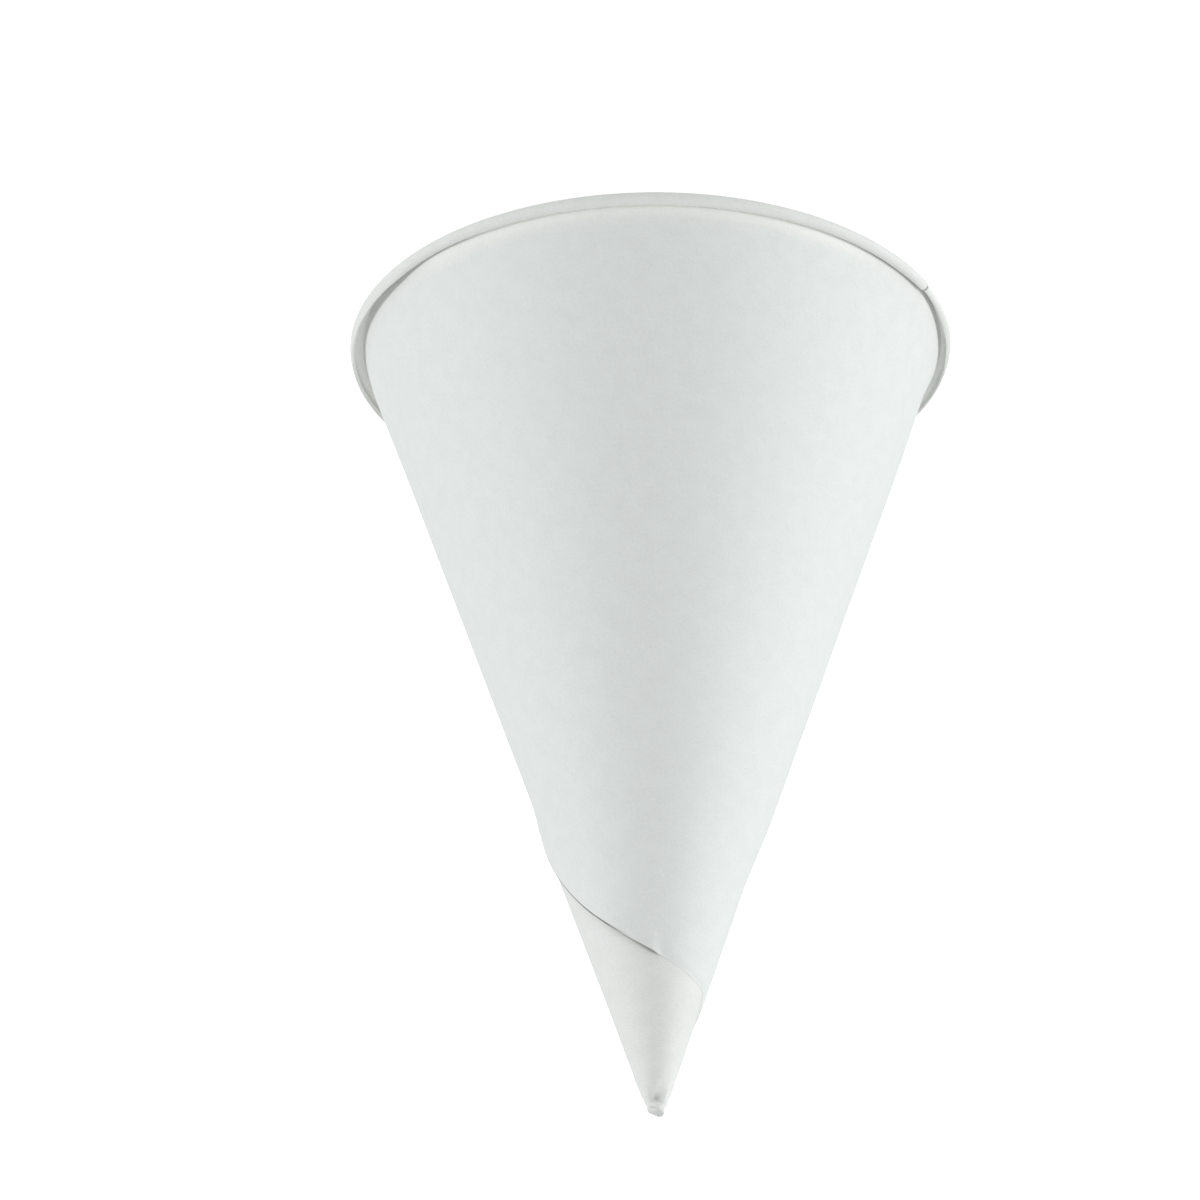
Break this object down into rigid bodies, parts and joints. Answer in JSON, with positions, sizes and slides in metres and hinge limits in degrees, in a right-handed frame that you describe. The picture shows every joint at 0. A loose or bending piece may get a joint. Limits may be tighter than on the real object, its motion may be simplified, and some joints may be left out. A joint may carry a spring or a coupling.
{
  "type": "cone paper cup",
  "caption": "Conical paper cup wound from one blank, with an overlapping glued ply, a blunt pressed tip and a rolled lip; holds a drink, stands on its rim.",
  "frame": {"origin": "centre of the circle that the rim rests on, in the plane of the rim's lowest points", "axes": "+Z along the cone's axis from the mouth to the tip, +X square to it, -Y towards the side that the picture shows; the cup stands on its rim, mouth down"},
  "size_m": [0.0864, 0.0864, 0.1219],
  "materials": {
    "cup_paper": "matt uncoated white cup paper"
  },
  "bodies": {
    "root": {"paper_cone_cup": "cup_paper"}
  },
  "joints": []
}
